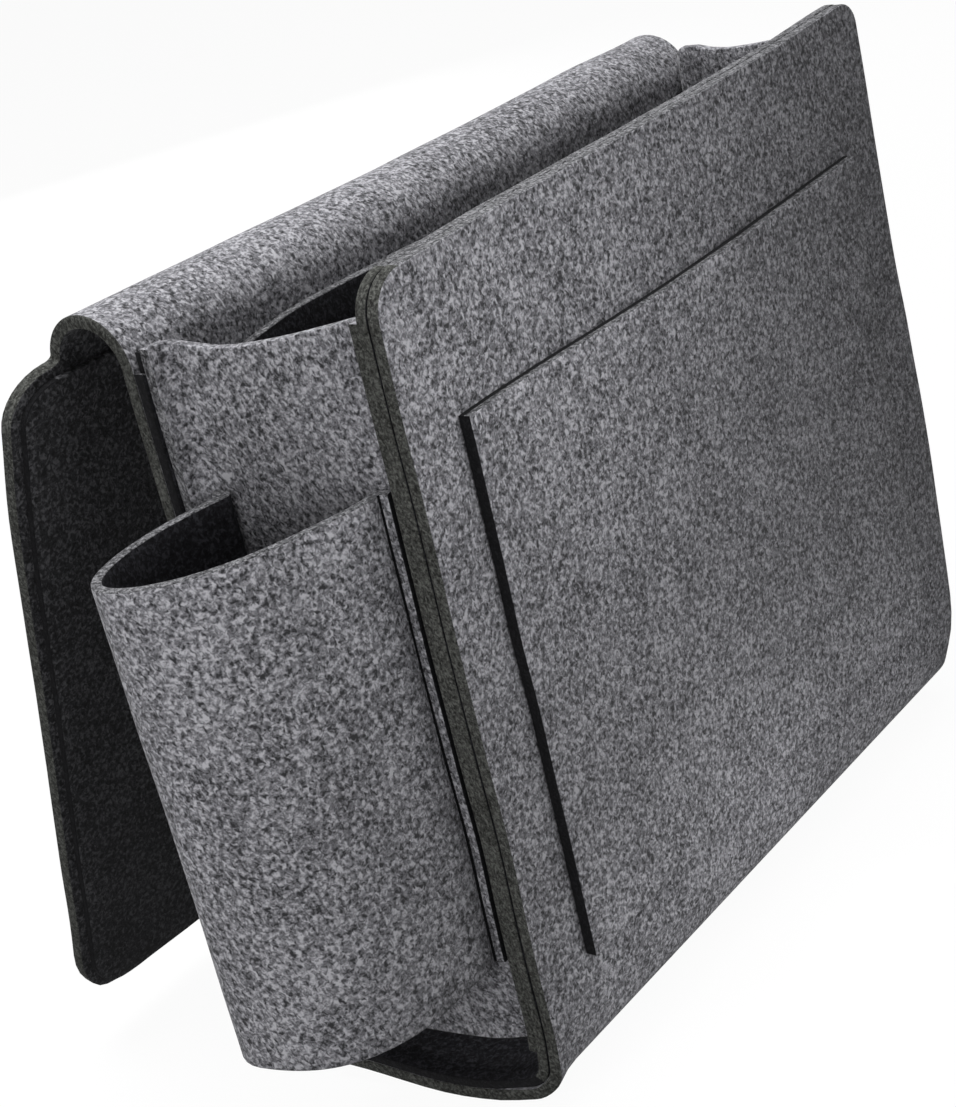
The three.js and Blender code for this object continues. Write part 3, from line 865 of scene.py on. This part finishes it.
def front_pocket():
    middle = -HALF_DEPTH - SEAM_GAP - PATCH_FELT / 2
    rows = []
    for x in spread(PATCH_LEFT, PATCH_RIGHT, PATCH_ROWS):
        crown = PATCH_MOUTH_GAP * math.sin(math.pi * (x - PATCH_LEFT) / (PATCH_RIGHT - PATCH_LEFT)) ** 2
        row = []
        for z in spread(PATCH_BOTTOM, PATCH_TOP, PATCH_COLUMNS):
            share = (z - PATCH_BOTTOM) / (PATCH_TOP - PATCH_BOTTOM)
            row.append(Vector((x, middle - crown * share, z)))
        rows.append(row)

    # The patch's side and bottom edges and the inner half of its top edge are black, painted shadow; the
    # outer half of its top edge has the lighter cut-edge felt, painted light.
    def edge_slot(side, _, outer):
        return 3 if side == "last" and outer else 2

    faces = (grey_felt, grey_felt, painted_shadow_felt, painted_light_rim)
    return felt_sheet("patch_pocket", rows, PATCH_FELT, faces, edge_slot=edge_slot, fringe=True)


class Seat:
    """The gusset's outer face, which carries the sleeve: distances run along it from its front bend to its
    back one, heights out of it."""

    def __init__(self):
        _, front, back, _ = gusset_corners()
        self.along = (back - front).normalized()
        self.out = Vector((self.along.y, -self.along.x))
        self.start = front + self.out * (THIN_FELT / 2)
        self.length = (back - front).length

    def point(self, distance, height):
        return self.start + self.along * distance + self.out * height

    def height(self, point):
        return (point - self.start).dot(self.out)


def sleeve_line(front_curve):
    """Middle of the sleeve's wall: a flange, the front curve to the nose, the back curve and a flange."""
    seat = Seat()
    rise = SEAM_GAP + THIN_FELT / 2
    front_root = SLEEVE_FRONT_MARGIN + SLEEVE_FRONT_FLANGE
    back_edge = seat.length - GUSSET_BEND_RADIUS
    back_root = back_edge - SLEEVE_BACK_FLANGE
    nose = seat.length - SLEEVE_NOSE_FROM_BACK
    back_curve = SLEEVE_BACK_CURVE
    front_wall = interpolate_bezier(
        seat.point(front_root, rise),
        seat.point(front_root + front_curve["lean"], rise + front_curve["outward"]),
        seat.point(nose - front_curve["at_nose"], SLEEVE_REACH),
        seat.point(nose, SLEEVE_REACH),
        SLEEVE_FRONT_POINTS,
    )[1:]
    back_wall = interpolate_bezier(
        seat.point(nose, SLEEVE_REACH),
        seat.point(nose + back_curve["at_nose"], SLEEVE_REACH),
        seat.point(back_root + back_curve["lean"], rise + back_curve["outward"]),
        seat.point(back_root, rise),
        SLEEVE_BACK_POINTS,
    )[1:-1]
    for place, point in enumerate(front_wall):
        height = seat.height(point)
        bulge = smooth(height, rise, SLEEVE_BULGE_HEIGHT)
        bulge *= 1.0 - smooth(height, SLEEVE_BULGE_HEIGHT, SLEEVE_BULGE_END)
        front_wall[place] = point - seat.along * (SLEEVE_BULGE * bulge)
    front_end = seat.point(SLEEVE_FRONT_MARGIN, rise)
    back_end = seat.point(back_edge, rise)
    line = [front_end]
    line += rounded_corner(front_end, seat.point(front_root, rise), front_wall[0], SLEEVE_BEND_RADIUS)
    line += front_wall + back_wall
    line += rounded_corner(back_wall[-1], seat.point(back_root, rise), back_end, SLEEVE_BEND_RADIUS)
    return line + [back_end]


def bottle_sleeve():
    rows = []
    for base, mouth in zip(sleeve_line(SLEEVE_BASE_CURVE), sleeve_line(SLEEVE_MOUTH_CURVE)):
        low = Vector((-base.x, base.y, SLEEVE_LIFT))
        high = Vector((-mouth.x, mouth.y, SLEEVE_MOUTH))
        rows.append([low.lerp(high, share) for share in spread(0.0, 1.0, SLEEVE_COLUMNS)])

    # The sleeve's flange ends are black, painted shadow; its rim and foot have the lighter cut-edge felt,
    # painted light.
    def edge_slot(side, _, __):
        return 3 if side in ("start", "end") else 2

    # The outer side of the bends at the flange roots gets the near-black felt: painted shade in the
    # creases.
    roots = [*range(1, BEND_STEPS + 1), *range(len(rows) - BEND_STEPS - 2, len(rows) - 2)]
    # The sleeve's inside is near-black though the sleeve is grey felt: painted shade.
    faces = (painted_shade_charcoal, grey_felt, painted_light_rim, painted_shadow_felt)
    return felt_sheet("sleeve_wall", rows, THIN_FELT, faces, edge_slot=edge_slot, creases=roots)


def sleeve_stitches():
    """A row of stitches up each of the sleeve's flanges."""
    seat = Seat()
    back_edge = seat.length - GUSSET_BEND_RADIUS
    face = SEAM_GAP + THIN_FELT
    out = Vector((-seat.out.x, seat.out.y, 0.0))
    points = []
    polygons = []
    seam = SLEEVE_MOUTH - SLEEVE_LIFT - STITCHES_FROM_FOOT - STITCHES_FROM_MOUTH
    for distance in (SLEEVE_FRONT_MARGIN + FRONT_SEAM_FROM_EDGE, back_edge - BACK_SEAM_FROM_EDGE):
        x, y = seat.point(distance, face)
        for k in range(int(seam / STITCH_PITCH)):
            start = Vector((-x, y, SLEEVE_LIFT + STITCHES_FROM_FOOT + k * STITCH_PITCH))
            add_stitch(points, polygons, start, out)
    return mesh_object("sleeve_stitches", points, polygons, [0] * len(polygons), (thread,))


def add_stitch(points, polygons, start, out):
    """One stitch that runs up from start and dips into the felt at both ends. Its arch and sink are in
    thread radii."""
    side = out.cross(Vector((0.0, 0.0, 1.0)))
    first = len(points)
    for share in STITCH_RINGS:
        lift = THREAD_RADIUS * (STITCH_ARCH * math.sin(math.pi * share) - STITCH_SINK)
        middle = settle(start + Vector((0.0, 0.0, STITCH_LENGTH * share))) + out * lift
        for k in range(STITCH_SIDES):
            angle = 2 * math.pi * k / STITCH_SIDES
            points.append(middle + (out * math.cos(angle) + side * math.sin(angle)) * THREAD_RADIUS)
    for ring in range(len(STITCH_RINGS) - 1):
        for k in range(STITCH_SIDES):
            a = first + ring * STITCH_SIDES + k
            b = first + ring * STITCH_SIDES + (k + 1) % STITCH_SIDES
            polygons.append((a, b, b + STITCH_SIDES, a + STITCH_SIDES))


def bottle_base():
    """The sleeve's base, from its outline shrunk towards its middle in rings."""
    line = sleeve_line(SLEEVE_BASE_CURVE)
    seat = Seat()
    inside = THIN_FELT / 2 + SEAM_GAP + EDGE_ROUND
    outline = []
    for before, here, after in zip(line, line[1:], line[2:]):
        along = (after - before).normalized()
        point = here + Vector((-along.y, along.x)) * inside
        if seat.height(point) > BASE_FROM_SEAT:
            outline.append(point)
    front_line = outline[: len(outline) // 2]
    back_line = outline[-1 : -len(front_line) - 1 : -1]
    z = SLEEVE_LIFT + BASE_RECESS + THIN_FELT / 2
    rows = []
    for near, far in zip(front_line, back_line):
        front = Vector((-near.x, near.y, z))
        back = Vector((-far.x, far.y, z))
        rows.append([front.lerp(back, share) for share in spread(0.0, 1.0, BASE_COLUMNS)])
    return felt_sheet("sleeve_base", rows, THIN_FELT, (charcoal_and_shade_felt, charcoal_and_shade_felt, charcoal_and_shade_felt))


# Pieces on their bodies


def replace(piece, body, slot, *nodes):
    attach(piece, body)
    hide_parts(*nodes)


sheet = body_sheet()
replace(sheet, "pocket", "felt_grey", "body_sheet")
lining = body_lining()
replace(lining, "pocket", "felt_charcoal", "body_lining")
left = gusset("gusset_left", -1.0, 0.0)
replace(left, "pocket", "felt_grey", "left_gusset")
right = gusset("gusset_right", 1.0, RIGHT_GUSSET_RISE)
replace(right, "pocket", "felt_grey", "right_gusset")
patch = front_pocket()
replace(patch, "pocket", "felt_grey", "front_pocket")
sleeve = bottle_sleeve()
replace(sleeve, "pocket", "felt_grey", "bottle_sleeve")
base = bottle_base()
replace(base, "pocket", "felt_charcoal", "bottle_base")
flap = flap_sheet()
replace(flap, "flap", "felt_grey", "flap")
flap_liner = flap_lining()
replace(flap_liner, "flap", "felt_charcoal", "flap_lining")
# Dark sheets in the slits between the gussets' flanges and the wall: painted shadow.
near_corner = slit_shadow_corner("slit_shadow_corner_left", -1.0, **NEAR_CORNER)
far_corner = slit_shadow_corner("slit_shadow_corner_right", 1.0, **FAR_CORNER)
for corner, size in ((near_corner, NEAR_CORNER), (far_corner, FAR_CORNER)):
    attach(corner, "pocket")
stitches = sleeve_stitches()
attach(stitches, "pocket")

strips = bridge_strips()
segment_sweep = BRIDGE_SWEEP / BRIDGE_SEGMENTS
bends = [Vector((0.0, SHEET_MIDDLE, WALL_BEND))]
bends += [Vector((0.0, *bridge_point(segment_sweep * (k + 0.5)))) for k in range(BRIDGE_SEGMENTS)]
bends.append(flap_row(FLAP_JOIN, 0.0, 0.0)[0])
for k, strip in enumerate(strips):
    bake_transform(strip)
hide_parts("bridge_1")
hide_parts("bridge_2")
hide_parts("bridge_3")


# Camera, floor and light


def add_object(name, data):
    added = bpy.data.objects.new(name, data)
    bpy.context.scene.collection.objects.link(added)
    return added


def add_camera():
    """A camera at the photograph's place, from a fit to the photograph's corners and edges."""
    sensor = 36.0
    focal_pixels = 2229.0
    photo_height = 1107.0
    place = Vector((-527.6, -419.5, 423.0))
    right_axis = Vector((0.58639, -0.78139, -0.21349))
    up_axis = Vector((0.44212, 0.0879, 0.89264))
    back_axis = Vector((-0.67873, -0.61783, 0.39701))
    data = bpy.data.cameras.new("camera")
    data.sensor_width = sensor
    data.lens = sensor * focal_pixels / photo_height
    camera = add_object("camera", data)
    turn = Matrix((right_axis, up_axis, back_axis)).transposed().to_4x4()
    camera.matrix_world = Matrix.Translation(place * MM) @ turn
    bpy.context.scene.camera = camera


def add_floor():
    reach = 6.0
    level = -0.0004
    corners = [(x * reach, y * reach, level) for x, y in ((-1, -1), (1, -1), (1, 1), (-1, 1))]
    mesh = bpy.data.meshes.new("floor")
    mesh.from_pydata(corners, [], [(0, 1, 2, 3)])
    mesh.materials.append(backdrop_material())
    add_object("floor", mesh)


def add_lights():
    """Area lights, with places and sizes in metres and powers in watts."""
    add_area("key", (-0.45, -0.2, 0.3), (-0.05, -0.043, 0.18), size=0.25, power=0.36)
    add_area("left", (-0.6, -0.02, 0.16), (-0.15, 0.0, 0.12), size=0.3, power=1.34)
    add_area("front_high", (-0.06, -0.18, 0.34), (-0.06, -0.043, 0.16), size=0.12, power=0.105)
    add_area("front", (-0.1, -0.2, 0.25), (-0.06, -0.043, 0.14), size=0.15, power=0.185)
    add_area("front_foot", (-0.03, -0.13, 0.03), (-0.02, -0.02, 0.1), size=0.06, power=0.022)
    for place, x in enumerate((-0.09, 0.0, 0.09)):
        add_area(f"fold_{place}", (x, -0.1, 0.02), (x, -0.03, 0.03), size=0.04, power=0.0145)
    add_area("top", (-0.08, 0.12, 1.6), (0.0, 0.05, 0.2), size=0.9, power=34.0)
    add_area("behind", (0.7, 1.1, 0.45), (0.05, 0.05, 0.14), size=0.8, power=8.0)
    add_area("top_front", (-0.1, -0.25, 1.2), (0.0, 0.03, 0.24), size=0.5, power=0.8)


def add_area(name, place, target, size, power):
    data = bpy.data.lights.new(name, "AREA")
    data.size = size
    data.energy = power
    lamp = add_object(name, data)
    lamp.location = place
    lamp.rotation_euler = (Vector(target) - Vector(place)).to_track_quat("-Z", "Y").to_euler()


def add_world():
    """White where the background is seen, and a faint even light on the object."""
    ambient_strength = 0.02
    world = bpy.data.worlds.new("world")
    bpy.context.scene.world = world
    tree = nodes_of(world)
    ambient = background(tree, ambient_strength)
    white = background(tree, 1.0)
    output = tree.nodes.new("ShaderNodeOutputWorld")
    link(tree, mixed(tree, seen_directly(tree), ambient, white), output.inputs["Surface"])


def background(tree, strength):
    node = tree.nodes.new("ShaderNodeBackground")
    node.inputs["Color"].default_value = (1.0, 1.0, 1.0, 1.0)
    node.inputs["Strength"].default_value = strength
    return node.outputs["Background"]


def seen_directly(tree):
    """1 for rays that see the background, directly or in gloss or glass, 0 for those that light things."""
    path = tree.nodes.new("ShaderNodeLightPath")
    seen = math_node(tree, "MAXIMUM", path.outputs["Is Camera Ray"], path.outputs["Is Glossy Ray"])
    return math_node(tree, "MAXIMUM", seen, path.outputs["Is Transmission Ray"])


def mixed(tree, share, first, second):
    """A shader that goes from the first to the second as share goes from 0 to 1."""
    mix = tree.nodes.new("ShaderNodeMixShader")
    if isinstance(share, float):
        mix.inputs["Fac"].default_value = share
    else:
        link(tree, share, mix.inputs["Fac"])
    link(tree, first, mix.inputs[1])
    link(tree, second, mix.inputs[2])
    return mix.outputs["Shader"]


def paper(tree, tone):
    node = tree.nodes.new("ShaderNodeBsdfDiffuse")
    node.inputs["Color"].default_value = (tone, tone, tone, 1.0)
    return node.outputs["BSDF"]


def backdrop_material():
    """A floor that is seen as white, with the object's own shadow, and throws little light back on it."""
    seen_tone = 0.8
    glow_share = 0.95
    lighting_tone = 0.1
    material = bpy.data.materials.new("backdrop")
    tree = nodes_of(material)
    glow = tree.nodes.new("ShaderNodeEmission")
    glow.inputs["Strength"].default_value = 1.0
    seen = mixed(tree, glow_share, paper(tree, seen_tone), glow.outputs["Emission"])
    output = tree.nodes.new("ShaderNodeOutputMaterial")
    surface = mixed(tree, seen_directly(tree), paper(tree, lighting_tone), seen)
    link(tree, surface, output.inputs["Surface"])
    return material


add_camera()
add_floor()
add_lights()
add_world()
bpy.context.scene.view_settings.view_transform = "Standard"
